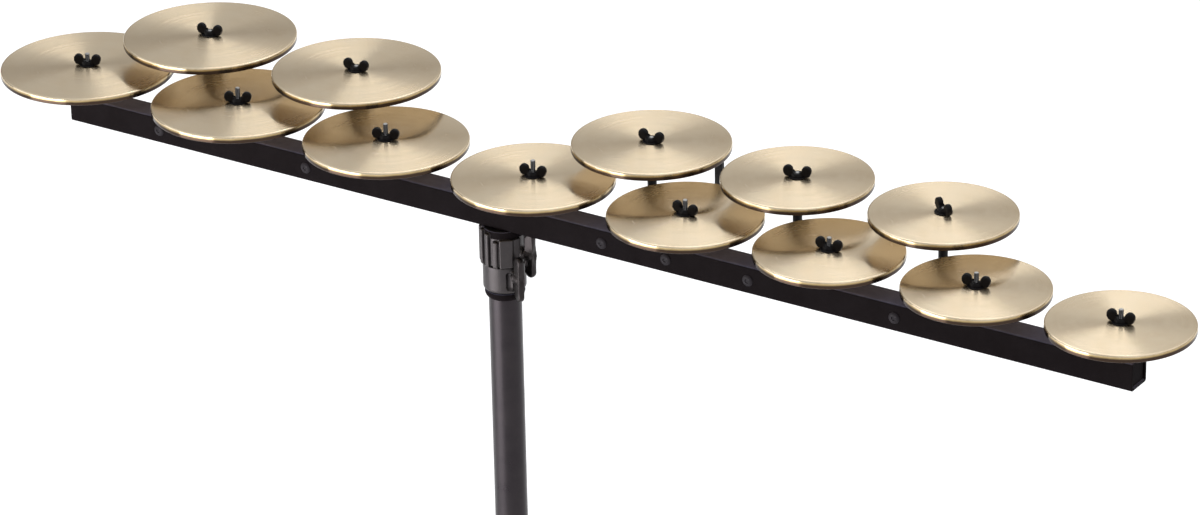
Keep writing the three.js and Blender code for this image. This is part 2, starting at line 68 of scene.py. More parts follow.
# Bar, arms and bracket. BAR_DROP is from a natural's top face to the bar's.
BAR_WIDTH, BAR_WALL, BAR_CORNER = 21.4, 2.0, 1.9
BAR_FRONT, LOCK_NUT_Y = -BAR_WIDTH / 2, BAR_WIDTH / 2 + SEAT_GAP
BAR_DROP = 23.9
END_INSET, END_PLATE = 1.2, 2.0
ARM_RADIUS, ARM_BEND = 3.5, 12.0
ARM_START = BAR_FRONT + 0.5
BRACKET_SETBACK, BRACKET_THICKNESS, BRACKET_NUT_SPACE = 80.0, 3, 5.6

# Socket, collar, tube and rod
ROD_RADIUS, TUBE_INNER, TUBE_OUTER = 9.3, 10.85, 12.35
ROD_BORE, TUBE_BORE, HUB_BORE = 9.75, 12.4, 12.6
SOCKET_RADIUS, COLLAR_RADIUS, BOLT_BOSS_RADIUS = 15.4, 16.2, 4.8
SOCKET_REACH, COLLAR_REACH, HUB_REACH = 18.6, 18.1, 21
COLLAR_BOLT_DROP, COLLAR_BOLT_TURN, POCKET_TURN = 7, -28, -44
SOCKET_RIBS, RIB_TURN, RIB_STEP = 11, -78, 24.5
RIB_DROPS = {0: 7.0, 1: 1.7}
PAD_TURN, PAD_DROP = -50, 5.6

# Tripod
LEG_TURNS = (180, 60, -60)
LEG_LENGTH, LEG_SPLAY, LEG_END = 400.0, 55, 13.0
LEG_WIDTH, STRIP_THICKNESS, STRIP_GAP = 15, 2.5, 10.6
BRACE_LENGTH, BRACE_WIDTH, BRACE_THICKNESS = 150.0, 13, 4
PIVOT_RADIUS, LUG_WIDTH = 28.0, 14
LEG_TILT = 90 - LEG_SPLAY
LEG_RUN = LEG_LENGTH * math.sin(math.radians(LEG_SPLAY))
LEG_RISE = LEG_LENGTH * math.cos(math.radians(LEG_SPLAY))
HUB_PIVOT = LEG_END + LEG_RISE
BRACE_PIVOT = HUB_PIVOT - 2 * BRACE_LENGTH / LEG_LENGTH * LEG_RISE
STRIP_OFFSET = (STRIP_GAP + STRIP_THICKNESS) / 2
SPACER_AT = LEG_LENGTH - 34


# Shapes, as bmeshes in millimetres


def soften(points, closed=False, steps=4):
    """Corner points as (x, y) or (x, y, fillet); the ones with a fillet become short arcs."""
    out = []
    count = len(points)
    for i, point in enumerate(points):
        here = Vector(point[:2])
        if len(point) == 2 or (not closed and i in (0, count - 1)):
            out.append(here)
            continue
        start = here + (Vector(points[i - 1][:2]) - here).normalized() * point[2]
        end = here + (Vector(points[(i + 1) % count][:2]) - here).normalized() * point[2]
        for k in range(steps + 1):
            t = k / steps
            out.append(start * (1 - t) ** 2 + here * 2 * t * (1 - t) + end * t * t)
    return out


def arc(x, y, radius, start, sweep, steps):
    """Points along a part of the circle about (x, y), with both ends."""
    angles = [math.radians(start + sweep * k / steps) for k in range(steps + 1)]
    return [(x + radius * math.cos(a), y + radius * math.sin(a)) for a in angles]


def polar(radius, angle, z):
    """A point at an angle about Z, in radians."""
    return radius * math.cos(angle), radius * math.sin(angle), z


def skin(bm, low, high):
    """Faces between two rings of vertices. A ring of one vertex is the tip of a fan."""
    count = max(len(low), len(high))
    for k in range(count):
        n = (k + 1) % count
        if len(low) == 1:
            bm.faces.new((low[0], high[n], high[k]))
        elif len(high) == 1:
            bm.faces.new((low[k], low[n], high[0]))
        else:
            bm.faces.new((low[k], low[n], high[n], high[k]))


def loft(rings, closed=False):
    """Skins rings of points. Closed, the last ring leads back to the first; open, the ends get caps."""
    bm = bmesh.new()
    rows = [[bm.verts.new(point) for point in ring] for ring in rings]
    for low, high in zip(rows, rows[1:] + rows[:1] if closed else rows[1:]):
        skin(bm, low, high)
    if not closed:
        for cap in (rows[0], rows[-1][::-1]):
            if len(cap) > 1:
                bm.faces.new(cap)
    return bm


def lathe(profile, sides=48, closed=False, steps=4):
    """Turns a profile of (radius, height, fillet) about Z."""
    rings = []
    for r, z in soften(profile, closed, steps):
        on_axis = r < 1e-6
        rings.append([polar(r, 2 * math.pi * k / sides, z) for k in range(1 if on_axis else sides)])
    return loft(rings, closed)


def slab(outline, thickness, bevel, segments=2):
    """A flat outline in the XZ plane with rounded edges, centred on y = 0."""
    bm = bmesh.new()
    half = thickness / 2
    front = [bm.verts.new((x, -half, z)) for x, z in outline]
    back = [bm.verts.new((x, half, z)) for x, z in outline]
    caps = [bm.faces.new(front), bm.faces.new(back[::-1])]
    skin(bm, front, back)
    rims = [edge for cap in caps for edge in cap.edges]
    bmesh.ops.bevel(
        bm, geom=rims, offset=bevel, segments=segments, profile=0.5, affect="EDGES", clamp_overlap=True
    )
    return bm


def brick(size, bevel, at=(0, 0, 0)):
    """A box with rounded edges."""
    bm = bmesh.new()
    bmesh.ops.create_cube(bm, size=1)
    bmesh.ops.scale(bm, vec=size, verts=bm.verts)
    bmesh.ops.bevel(bm, geom=bm.edges[:], offset=bevel, segments=2, profile=0.5, affect="EDGES")
    bmesh.ops.translate(bm, vec=at, verts=bm.verts)
    return bm


def arm_rod(path, sides=20):
    """A round rod along points of the YZ plane."""
    rings = []
    for i, (y, z) in enumerate(path):
        before, after = Vector(path[max(i - 1, 0)]), Vector(path[min(i + 1, len(path) - 1)])
        along = (after - before).normalized()
        ring = []
        for k in range(sides):
            across, side, _ = polar(ARM_RADIUS, 2 * math.pi * k / sides, 0)
            ring.append((across, y - along.y * side, z + along.x * side))
        rings.append(ring)
    return loft(rings)


def thread(low, high, sides=24):
    """The end of a stud, about Z, with a real helical groove and a chamfered top."""
    rows = int((high - low) / THREAD_PITCH * ROWS_PER_PITCH)
    rings = []
    for i in range(rows + 1):
        z = low + (high - low) * i / rows
        ring = []
        for k in range(sides):
            wave = abs(2 * ((z / THREAD_PITCH - k / sides) % 1) - 1)
            inward = max(THREAD_DEPTH * wave, THREAD_CHAMFER - (high - z))
            ring.append(polar(SHANK_RADIUS - inward, 2 * math.pi * k / sides, z))
        rings.append(ring)
    return loft(rings)


def hex_nut(across, height, bore, sides=48):
    """A hexagon nut about Z from z = 0, with its corners turned down."""
    flat = across / 2
    start = flat * CORNER_START
    rings = [[] for _ in range(6)]
    for k in range(sides):
        a = 2 * math.pi * k / sides
        reach = flat / math.cos((a + math.pi / 6) % (math.pi / 3) - math.pi / 6)
        fall = (reach - start) * CORNER_SLOPE
        lower = [(bore, 0), (start, 0), (reach, fall)]
        upper = [(r, height - z) for r, z in lower[::-1]]
        for ring, (r, z) in zip(rings, lower + upper):
            ring.append(polar(r, a, z))
    return loft(rings, closed=True)


def moved(bm, *steps):
    """Applies transforms to a shape, one after the other."""
    for step in steps:
        bmesh.ops.transform(bm, matrix=step, verts=bm.verts)
    return bm


def shift(x=0, y=0, z=0):
    return Matrix.Translation((x, y, z))


def turn(axis, degrees):
    return Matrix.Rotation(math.radians(degrees), 4, axis)


def merged(*shapes):
    """One shape that holds the others, which are used up."""
    whole = bmesh.new()
    for shape in shapes:
        bmesh.ops.recalc_face_normals(shape, faces=shape.faces)
        part = bpy.data.meshes.new("part")
        shape.to_mesh(part)
        shape.free()
        whole.from_mesh(part)
        bpy.data.meshes.remove(part)
    return whole


def to_mesh(name, bm):
    """A mesh in metres with its sharp edges marked."""
    bmesh.ops.recalc_face_normals(bm, faces=bm.faces)
    for face in bm.faces:
        face.smooth = True
    for edge in bm.edges:
        if len(edge.link_faces) == 2:
            edge.smooth = edge.calc_face_angle(0) < math.radians(CREASE)
    bmesh.ops.scale(bm, vec=(MM, MM, MM), verts=bm.verts)
    mesh = bpy.data.meshes.new(name)
    bm.to_mesh(mesh)
    bm.free()
    return mesh


def add_object(name, data):
    ob = bpy.data.objects.new(name, data)
    scene.collection.objects.link(ob)
    return ob


def cast(name, shapes, cuts=(), *, voxel, rounds, keep):
    """Fuses shapes into one skin with the soft inner corners of a casting."""
    ob = add_object(name, to_mesh(name, merged(*shapes)))
    ob.modifiers.new("fuse", "REMESH").voxel_size = voxel * MM
    tools = [add_object(f"cutter_{i}", to_mesh(f"cutter_{i}", shape)) for i, shape in enumerate(cuts)]
    for tool in tools:
        cutter = ob.modifiers.new("cut", "BOOLEAN")
        cutter.operation, cutter.solver, cutter.object = "DIFFERENCE", "EXACT", tool
    if cuts:
        ob.modifiers.new("even", "REMESH").voxel_size = voxel * MM
    soft = ob.modifiers.new("soft", "SMOOTH")
    soft.factor, soft.iterations = 0.5, rounds
    ob.modifiers.new("light", "DECIMATE").ratio = keep
    result = bpy.data.meshes.new_from_object(ob.evaluated_get(bpy.context.evaluated_depsgraph_get()))
    for used in (ob, *tools):
        bpy.data.objects.remove(used)
    result.name = name
    for polygon in result.polygons:
        polygon.use_smooth = True
    return result


def piece(name, shape, look, body, at=(0, 0, 0), pose=None, stands_for=(), even=True):
    """Makes an object of a shape, puts it in its place and lets it ride on its body."""
    finish, slot = look
    mesh = shape if isinstance(shape, bpy.types.Mesh) else to_mesh(name, shape)
    if not mesh.materials:
        mesh.materials.append(finish)
    ob = add_object(name, mesh)
    place = Matrix.Translation(Vector(at) * MM)
    ob.matrix_world = place @ pose if pose else place
    if even:
        ob.modifiers.new("even", "WEIGHTED_NORMAL").keep_sharp = True
    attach(ob, body)
    if stands_for:
        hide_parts(*stands_for)


# Materials. RINGS are noise cells per metre, the DEPTHs mm below a disc's top face, the FACINGs how far a
# face looks up, and the boss zone, out to which the painted shade about the boss reaches, is a distance
# from a disc's axis, in metres.

BRONZE_BRIGHT, BRONZE_DEEP = (0.85, 0.715, 0.52), (0.79, 0.64, 0.44)
# The rim's side is a shaded copy of the bronze: painted shade, gold just under the top face and near black
# lower down.
RIM_SHADED_GOLD, RIM_PAINTED_SHADE = (0.5, 0.37, 0.18), (0.055, 0.036, 0.026)
# A darker underside, darkest about the boss: painted shade under the discs.
UNDERSIDE_PAINTED_SHADE, BOSS_PAINTED_SHADE = (0.42, 0.33, 0.205), (0.05, 0.033, 0.027)
BAR_BLACK, BAR_RUBBED = (0.0075, 0.0054, 0.006), (0.0115, 0.009, 0.01)
# The lighter top of the bar: partly dust, partly painted light.
DUST_AND_PAINTED_LIGHT_THIN, DUST_AND_PAINTED_LIGHT_THICK = (0.095, 0.09, 0.13), (0.135, 0.128, 0.175)
THREAD_BLACK, TIP_BRIGHT, TIP_DULL = (0.05, 0.048, 0.05), (0.62, 0.62, 0.61), (0.42, 0.41, 0.4)
RUBBER_CLEAN, RUBBER_DUSTY = (0.014, 0.014, 0.014), (0.045, 0.043, 0.04)
RINGS_FINE, RINGS_BROAD = 1300, 170
GOLD_DEPTH, RIM_SHADE_DEPTH = (0.7, 1.5), (1.7, 2.9)
# How far out from a disc's axis the painted shade about the boss reaches.
BOSS_SHADE_ZONE = (12 * MM, 14 * MM)
UNDER_FACING, TOP_FACING, TIP_FACING = (-0.85, -0.97), (0.5, 0.9), (0.55, 0.75)
EDGE_WEAR_GAIN = 3.2


def blank(name):
    material = bpy.data.materials.new(name)
    material.use_nodes = True
    tree = material.node_tree
    return material, tree, tree.nodes["Principled BSDF"]


def fill(tree, node, values):
    """Sets inputs of a node, and links those whose value is another node's output."""
    for key, value in values.items():
        if isinstance(value, bpy.types.NodeSocket):
            tree.links.new(value, node.inputs[key])
        else:
            node.inputs[key].default_value = value


def new(tree, kind, values, **settings):
    node = tree.nodes.new(kind)
    for key, value in settings.items():
        setattr(node, key, value)
    fill(tree, node, values)
    return node


def noise(tree, vector, scale, detail=4, roughness=0.5):
    values = {"Vector": vector, "Scale": scale, "Detail": detail, "Roughness": roughness}
    return new(tree, "ShaderNodeTexNoise", values).outputs["Fac"]


def spread(tree, value, low, high, to_low=0.0, to_high=1.0, **settings):
    """Maps low to high onto to_low to to_high, held at both ends."""
    values = {"Value": value, "From Min": low, "From Max": high, "To Min": to_low, "To Max": to_high}
    return new(tree, "ShaderNodeMapRange", values, **settings).outputs["Result"]


def tint(tree, factor, first, second):
    """Blends two colours, each given as numbers or as another node's output."""
    node = new(tree, "ShaderNodeMix", {"Factor": factor}, data_type="RGBA")
    sockets = [i for i, socket in enumerate(node.inputs) if socket.type == "RGBA"]
    for i, colour in zip(sockets, (first, second)):
        fill(tree, node, {i: (*colour, 1) if isinstance(colour, tuple) else colour})
    return node.outputs[2]


def calc(tree, operation, *inputs):
    return new(tree, "ShaderNodeMath", dict(enumerate(inputs)), operation=operation).outputs[0]


def bump(tree, height, strength, distance):
    values = {"Height": height, "Strength": strength, "Distance": distance}
    return new(tree, "ShaderNodeBump", values).outputs["Normal"]


def coordinate(tree, kind):
    return new(tree, "ShaderNodeTexCoord", {}).outputs[kind]


def split(tree, vector):
    """The X, Y and Z outputs of a vector."""
    return new(tree, "ShaderNodeSeparateXYZ", {0: vector}).outputs


def facing_up(tree):
    """From -1 to 1, how far the face looks up in the object's own frame."""
    return split(tree, coordinate(tree, "Normal"))["Z"]


def bronze():
    """Turned bronze: fine rings of brushing about each disc's own axis and faint stains, with painted shade
    on the rim's side, on the underside and about the boss.
    """
    material, tree, shader = blank("bronze")
    place = coordinate(tree, "Object")
    flat = new(tree, "ShaderNodeVectorMath", {0: place, 1: (1, 1, 0)}, operation="MULTIPLY").outputs[0]
    radius = new(tree, "ShaderNodeVectorMath", {0: flat}, operation="LENGTH").outputs["Value"]

    def rings(per_metre, detail):
        values = {"W": calc(tree, "MULTIPLY", radius, per_metre), "Scale": 1.0, "Detail": detail}
        return new(tree, "ShaderNodeTexNoise", values, noise_dimensions="1D").outputs["Fac"]

    fine, broad = rings(RINGS_FINE, 3), rings(RINGS_BROAD, 2)
    groove = calc(tree, "ADD", calc(tree, "MULTIPLY", fine, 0.5), calc(tree, "MULTIPLY", broad, 0.5))
    stain = noise(tree, place, scale=26, detail=5, roughness=0.6)
    depth = calc(tree, "MULTIPLY", split(tree, place)["Z"], -1 / MM)
    depth = calc(tree, "ADD", depth, spread(tree, stain, 0.3, 0.7, to_low=-0.4, to_high=0.4))
    face = tint(tree, spread(tree, stain, 0.35, 0.7), BRONZE_BRIGHT, BRONZE_DEEP)
    # Painted shade on the rim's side, from shaded gold to near black as it goes deeper.
    edge = tint(tree, spread(tree, depth, *RIM_SHADE_DEPTH), RIM_SHADED_GOLD, RIM_PAINTED_SHADE)
    # Painted shade about the boss: near black brown out to 12 mm from the axis, fading out by 14 mm.
    under = tint(tree, spread(tree, radius, *BOSS_SHADE_ZONE), BOSS_PAINTED_SHADE, UNDERSIDE_PAINTED_SHADE)
    # Faces that look down get the painted shade of the underside.
    below = tint(tree, spread(tree, facing_up(tree), *UNDER_FACING), edge, under)
    brushed = spread(tree, groove, 0.35, 0.65, to_low=0.2, to_high=0.25)
    stained = spread(tree, stain, 0.4, 0.75, to_low=0.0, to_high=0.05)
    tangent = new(tree, "ShaderNodeTangent", {}, direction_type="RADIAL", axis="Z").outputs[0]
    surface = {
        "Base Color": tint(tree, spread(tree, depth, *GOLD_DEPTH), face, below),
        "Metallic": 1,
        "Roughness": calc(tree, "ADD", brushed, stained),
        "Anisotropic": 1,
        "Anisotropic Rotation": 0.25,
        "Tangent": tangent,
        "Normal": bump(tree, broad, strength=0.04, distance=0.1 * MM),
    }
    fill(tree, shader, surface)
    return material


def worn(name, base, light, *, roughness, metallic, specular, grain, grain_size, wear):
    """Metal or paint with a fine grain, uneven gloss and edges rubbed lighter."""
    material, tree, shader = blank(name)
    place = coordinate(tree, "Object")
    patches = noise(tree, place, scale=60, detail=4, roughness=0.6)
    colour = tint(tree, spread(tree, patches, 0.35, 0.7, to_high=0.35), base, light)
    edge = new(tree, "ShaderNodeNewGeometry", {}).outputs["Pointiness"]
    rubbed = spread(tree, edge, 0.51, 0.6, to_high=wear)
    edges = calc(tree, "MULTIPLY", rubbed, spread(tree, patches, 0.3, 0.6, to_low=0.4))
    bare = tuple(min(1, part * EDGE_WEAR_GAIN) for part in light)
    surface = {
        "Base Color": tint(tree, edges, colour, bare),
        "Metallic": metallic,
        "Specular IOR Level": specular,
        "Roughness": spread(tree, patches, 0.3, 0.7, to_low=roughness - 0.06, to_high=roughness + 0.08),
        "Normal": bump(tree, noise(tree, place, grain_size, detail=3), strength=grain, distance=0.2 * MM),
    }
    fill(tree, shader, surface)
    return material


def bar_paint():
    """Matt black paint. The upward face is lighter and purple grey: partly a film of dust, partly painted
    light.
    """
    material, tree, shader = blank("bar_paint")
    place = coordinate(tree, "Object")
    patches = noise(tree, place, scale=45, detail=5, roughness=0.65)
    paint = tint(tree, spread(tree, patches, 0.35, 0.7), BAR_BLACK, BAR_RUBBED)
    # The top's colour is partly dust and partly painted light.
    dust = tint(tree, spread(tree, patches, 0.3, 0.65), DUST_AND_PAINTED_LIGHT_THIN, DUST_AND_PAINTED_LIGHT_THICK)
    surface = {
        "Base Color": tint(tree, spread(tree, facing_up(tree), *TOP_FACING), paint, dust),
        "Specular IOR Level": 0.012,
        "Roughness": spread(tree, patches, 0.3, 0.7, to_low=0.46, to_high=0.56),
        "Normal": bump(tree, noise(tree, place, scale=1500, detail=3), strength=0.15, distance=0.2 * MM),
    }
    fill(tree, shader, surface)
    return material


def stud_steel():
    """Blackened thread that turns light steel grey on the faces that look up, its end among them."""
    material, tree, shader = blank("stud_steel")
    place = coordinate(tree, "Object")
    patches = noise(tree, place, scale=300, detail=3)
    bright = tint(tree, patches, TIP_BRIGHT, TIP_DULL)
    surface = {
        "Base Color": tint(tree, spread(tree, facing_up(tree), *TIP_FACING), THREAD_BLACK, bright),
        "Metallic": 1,
        "Roughness": spread(tree, patches, 0.3, 0.7, to_low=0.24, to_high=0.4),
        "Normal": bump(tree, noise(tree, place, scale=900), strength=0.15, distance=0.1 * MM),
    }
    fill(tree, shader, surface)
    return material


def foot_rubber():
    material, tree, shader = blank("foot_rubber")
    place = coordinate(tree, "Object")
    dust = noise(tree, place, scale=45, detail=5, roughness=0.65)
    surface = {
        "Base Color": tint(tree, spread(tree, dust, 0.45, 0.75), RUBBER_CLEAN, RUBBER_DUSTY),
        "Roughness": spread(tree, dust, 0.3, 0.7, to_low=0.62, to_high=0.8),
        "Normal": bump(tree, noise(tree, place, scale=900, detail=2), strength=0.25, distance=0.2 * MM),
    }
    fill(tree, shader, surface)
    return material


def head_paint():
    return worn("head_paint", (0.016, 0.013, 0.016), (0.03, 0.026, 0.03), roughness=0.5, metallic=0.0,
                specular=0.1, grain=0.2, grain_size=900, wear=0.3)


def black_steel():
    return worn("black_steel", (0.005, 0.0042, 0.0048), (0.01, 0.009, 0.01), roughness=0.36, metallic=0.0,
                specular=0.12, grain=0.12, grain_size=1200, wear=0.3)


def stand_metal():
    return worn("stand_metal", (0.025, 0.021, 0.024), (0.04, 0.034, 0.036), roughness=0.33, metallic=0.85,
                specular=0.4, grain=0.14, grain_size=1400, wear=0.3)


def casting():
    return worn("casting", (0.046, 0.041, 0.043), (0.08, 0.071, 0.068), roughness=0.4, metallic=0.85,
                specular=0.4, grain=0.3, grain_size=700, wear=0.5)


def wing_metal():
    return worn("wing_metal", (0.024, 0.02, 0.021), (0.05, 0.043, 0.042), roughness=0.34, metallic=0.8,
                specular=0.3, grain=0.2, grain_size=900, wear=0.6)


DISC = (bronze(), "disc_bronze")
BAR = (bar_paint(), "bar_paint")
HEAD_PAINT = (head_paint(), "black_steel")
BLACK = (black_steel(), "black_steel")
STAND = (stand_metal(), "stand_metal")
CASTING = (casting(), "stand_metal")
WING = (wing_metal(), "black_steel")
TIP = (stud_steel(), "black_steel")
RUBBER = (foot_rubber(), "foot_rubber")


# Discs, nuts, studs and posts


def disc_shape(radius):
    """A disc with its boss below and z = 0 on its top face."""
    flat, low, end = radius - DISC_RIM - 0.5, -DISC_THICKNESS, -DISC_THICKNESS - BOSS_HEIGHT
    profile = [
        (DISC_BORE, -0.5),
        (DISC_BORE + 0.5, 0),
        (DISC_BORE + 1.2, 0),
        (flat, 0),
        (radius, 0, DISC_RIM),
        (radius, low, 1.1),
        (flat, low),
        (BOSS_RADIUS + 3, low),
        (BOSS_RADIUS, low, 2),
        (BOSS_RADIUS, end, 0.7),
        (DISC_BORE, end),
    ]
    return lathe(profile, 144, closed=True, steps=6)


def ear_outline(side):
    """A rounded lobe on a foot, standing out to one side."""
    foot = [(1.5, 0.2), (6.2, 0.2), (8.6, 0.4), (9.5, 1.1)]
    points = foot + arc(6.9, 4.8, 3.7, -25, 205, 12) + [(3.3, 3.2), (1.5, 2.8)]
    return [(side * x, z) for x, z in points]


def nut_shape():
    hub = lathe([(0, 0), (4.8, 0), (4.6, 1.2), (3.7, 3.2, 0.6), (0, 3.2)], 32)
    ears = [slab(ear_outline(side), 4.2, 1.2, 3) for side in (1, -1)]
    return cast("nut", [hub, *ears], voxel=0.3, rounds=4, keep=0.35)


def washer_shape():
    bore, radius, thickness, edge = 2.3, 6.6, 0.6, 0.2
    return lathe([(bore, 0), (radius, 0, edge), (radius, thickness, edge), (bore, thickness)], closed=True)


def spindle_shape():
    """Hexagon base nut, neck and flange of a stud, with z = 0 on the disc's top face."""
    base, flange = -BAR_DROP + SEAT_GAP, SEAT - 2
    nut = moved(hex_nut(NUT_ACROSS, NUT_HEIGHT, 2), shift(z=base))
    profile = [
        (0, base - 5),
        (3.4, base - 5),
        (3.4, base + NUT_HEIGHT),
        (5, base + NUT_HEIGHT),
        (5, flange, 0.6),
        (BOSS_RADIUS, flange, 0.5),
        (BOSS_RADIUS, SEAT, 0.4),
        (0, SEAT),
    ]
    return merged(nut, lathe(profile, 40))


def add_note(note, rack_part):
    """A note's disc, wing nut, washer and thread. Returns the middle of the disc's top face."""
    low, high = (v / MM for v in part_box(f"disc_{note}"))
    middle = (low + high) / 2
    at = (middle.x, middle.y, high.z)
    shape = disc_shape((high.x - low.x) / 2)
    piece(f"plate_{note}", shape, DISC, f"disc_{note}", at, stands_for=[f"disc_{note}"])
    spin = turn("Z", NUT_TURNS[note])
    lifted = (at[0], at[1], at[2] + SEAT_GAP)
    piece(f"nut_{note}", NUT, BLACK, f"wing_nut_{note}", lifted, spin, [f"wing_nut_{note}"], even=False)
    piece(f"washer_{note}", WASHER, BLACK, f"wing_nut_{note}", lifted, spin)
    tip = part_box(rack_part)[1].z / MM - at[2]
    top = tip + NATURAL_TIP_RISE if note in NATURALS else SHARP_TIP
    piece(f"tip_{note}", thread(THREAD_START, top), TIP, "rack", at)
    return at


NUT = nut_shape()
WASHER = to_mesh("washer", washer_shape())
SPINDLE = to_mesh("spindle", spindle_shape())
for note in NATURALS:
    at = add_note(note, f"stud_{note}")
    piece(f"spindle_{note}", SPINDLE, BLACK, "rack", at, stands_for=[f"stud_{note}"])


def arm_path(setback, top, middle):
    """Level through the bar at height middle, then up, as points (y, z)."""
    bend = arc(setback - ARM_BEND, middle + ARM_BEND, ARM_BEND, -90, 90, 10)
    return [(ARM_START, middle), *bend, (setback, top)]


def head_shape():
    """Seat and neck at the top of a post, with z = 0 on the disc's top face."""
    nut = moved(hex_nut(10, 3.5, 2), shift(z=SEAT - 5.6))
    profile = [(0, SEAT - 2.2), (BOSS_RADIUS, SEAT - 2, 0.5), (BOSS_RADIUS, SEAT, 0.4), (0, SEAT)]
    return merged(nut, lathe(profile, 40))


def bolt_head_shape():
    """Low domed head with a round recess, facing -Y, with y = 0 on the bar's front face."""
    head = lathe([(0, 0), (4.4, 0), (4.4, 0.5, 0.3), (3.2, 1.2, 0.8), (1.8, 1.4), (1.6, 0.8), (0, 0.8)], 36)
    return moved(head, turn("X", 90))


bar_low, bar_high = (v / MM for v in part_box("bar"))
bar_middle = (bar_low.z + bar_high.z) / 2
HEAD = to_mesh("head", head_shape())
LOCK_NUT = to_mesh("lock_nut", moved(hex_nut(NUT_ACROSS, NUT_HEIGHT, 3.4), turn("X", -90)))
BOLT_HEAD = to_mesh("bolt_head", bolt_head_shape())
for note in SHARPS:
    at = add_note(note, f"post_{note}")
    arm = arm_rod(arm_path(at[1], at[2] + SEAT - 2.5, bar_middle))
    piece(f"arm_{note}", arm, BLACK, "rack", (at[0], 0, 0), stands_for=[f"post_{note}"])
    piece(f"arm_head_{note}", HEAD, BLACK, "rack", at)
    piece(f"lock_nut_{note}", LOCK_NUT, BLACK, "rack", (at[0], LOCK_NUT_Y, bar_middle))
    piece(f"bolt_head_{note}", BOLT_HEAD, HEAD_PAINT, "rack", (at[0], BAR_FRONT, bar_middle))


# Bar and bracket


def rounded_square(x, half, corner):
    """A ring about the X axis."""
    inset = half - corner
    ring = []
    for quadrant, (y, z) in enumerate(((inset, inset), (-inset, inset), (-inset, -inset), (inset, -inset))):
        ring += [(x, *point) for point in arc(y, z, corner, 90 * quadrant, 90, 5)]
    return ring


def bar_shape(length):
    """A square tube along X, with recessed ends that the end plates close."""
    outer, inner, inner_corner, edge, lip = BAR_WIDTH / 2, BAR_WIDTH / 2 - BAR_WALL, 0.8, 0.3, 0.25
    near = [
        (END_INSET + END_PLATE / 2, inner, inner_corner),
        (lip, inner, inner_corner),
        (0, inner + lip, 1),
        (0, outer - edge, BAR_CORNER - edge),
        (edge, outer, BAR_CORNER),
    ]
    far = [(length - x, half, corner) for x, half, corner in near[::-1]]
    return loft([rounded_square(*ring) for ring in near + far])


def bracket_outline():
    """A plate with a narrow tongue up its left side, with z = 0 at the bar's top."""
    left, right, foot, shoulder, tongue_top = -13.2, 13.2, -30, 12, 36
    tongue = left + 6.4
    corners = [
        (left, foot, 2.5),
        (right, foot, 2.5),
        (right, shoulder, 2.5),
        (tongue, shoulder, 2),
        (tongue, tongue_top, 0.8),
        (left, tongue_top, 0.8),
    ]
    return soften(corners, closed=True)


length = bar_high.x - bar_low.x
piece("bar_tube", bar_shape(length), BAR, "rack", (bar_low.x, 0, bar_middle), stands_for=["bar"])
plate_depth, plate_width = END_INSET + END_PLATE / 2, BAR_WIDTH - 2 * BAR_WALL - 0.5
for side, x in (("low", bar_low.x + plate_depth), ("high", bar_high.x - plate_depth)):
    plate = brick((END_PLATE, plate_width, plate_width), 0.7)
    piece(f"end_plate_{side}", plate, BAR, "rack", (x, 0, bar_middle))
bracket_low, bracket_high = (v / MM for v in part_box("rear_bracket"))
bracket_x = (bracket_low.x + bracket_high.x) / 2
bracket_at, nut_y = (bracket_x, BRACKET_SETBACK, bar_high.z), BRACKET_SETBACK - BRACKET_NUT_SPACE
plate = slab(bracket_outline(), BRACKET_THICKNESS, 0.5)
piece("bracket", plate, BLACK, "rack", bracket_at, stands_for=["rear_bracket"])
straight = [(y, bar_middle) for y in (ARM_START, 20, BRACKET_SETBACK)]
piece("bracket_arm", arm_rod(straight), BLACK, "rack", (bracket_x, 0, 0))
piece("bracket_nut", LOCK_NUT, BLACK, "rack", (bracket_x, LOCK_NUT_Y, bar_middle))
piece("bracket_seat_nut", LOCK_NUT, BLACK, "rack", (bracket_x, nut_y, bar_middle))
piece("bracket_bolt_head", BOLT_HEAD, HEAD_PAINT, "rack", (bracket_x, BAR_FRONT, bar_middle))


# Socket, collar, tube and rod


def cylinder(radius, low, high, sides=48):
    return lathe([(0, low), (radius, low), (radius, high), (0, high)], sides)


def boss(reach):
    """A bolt's boss along X, out to its reach from the column's axis."""
    profile = [(0, 5), (BOLT_BOSS_RADIUS, 5), (BOLT_BOSS_RADIUS, reach, 0.6), (0, reach)]
    return moved(lathe(profile, 32), turn("Y", 90))


def socket_shape(height, bolt_height):
    """Ribs all round, the ones beside the bolt cut lower, and a flat pad at the front."""
    core = lathe([(0, 0), (SOCKET_RADIUS, 0, 0.8), (SOCKET_RADIUS, height, 0.5), (0, height)], 64)
    ribs = []
    for k in range(SOCKET_RIBS):
        top = height - RIB_DROPS.get(min(k, SOCKET_RIBS - 1 - k), 0)
        rib = brick((18.3, 3.8, top), 0.9, (18.3 / 2, 0, top / 2))
        ribs.append(moved(rib, turn("Z", RIB_TURN - RIB_STEP * k)))
    top = height - PAD_DROP
    for reach, across, degrees in ((17.2, 10.2, PAD_TURN), (16.8, 9.6, PAD_TURN / 2)):
        ribs.append(moved(brick((reach, across, top), 0.6, (reach / 2, 0, top / 2)), turn("Z", degrees)))
    bolt_boss = moved(boss(SOCKET_REACH), shift(z=bolt_height))
    bore = cylinder(ROD_BORE, -1, 23)
    return cast("socket", [core, *ribs, bolt_boss], [bore], voxel=0.4, rounds=2, keep=0.4)


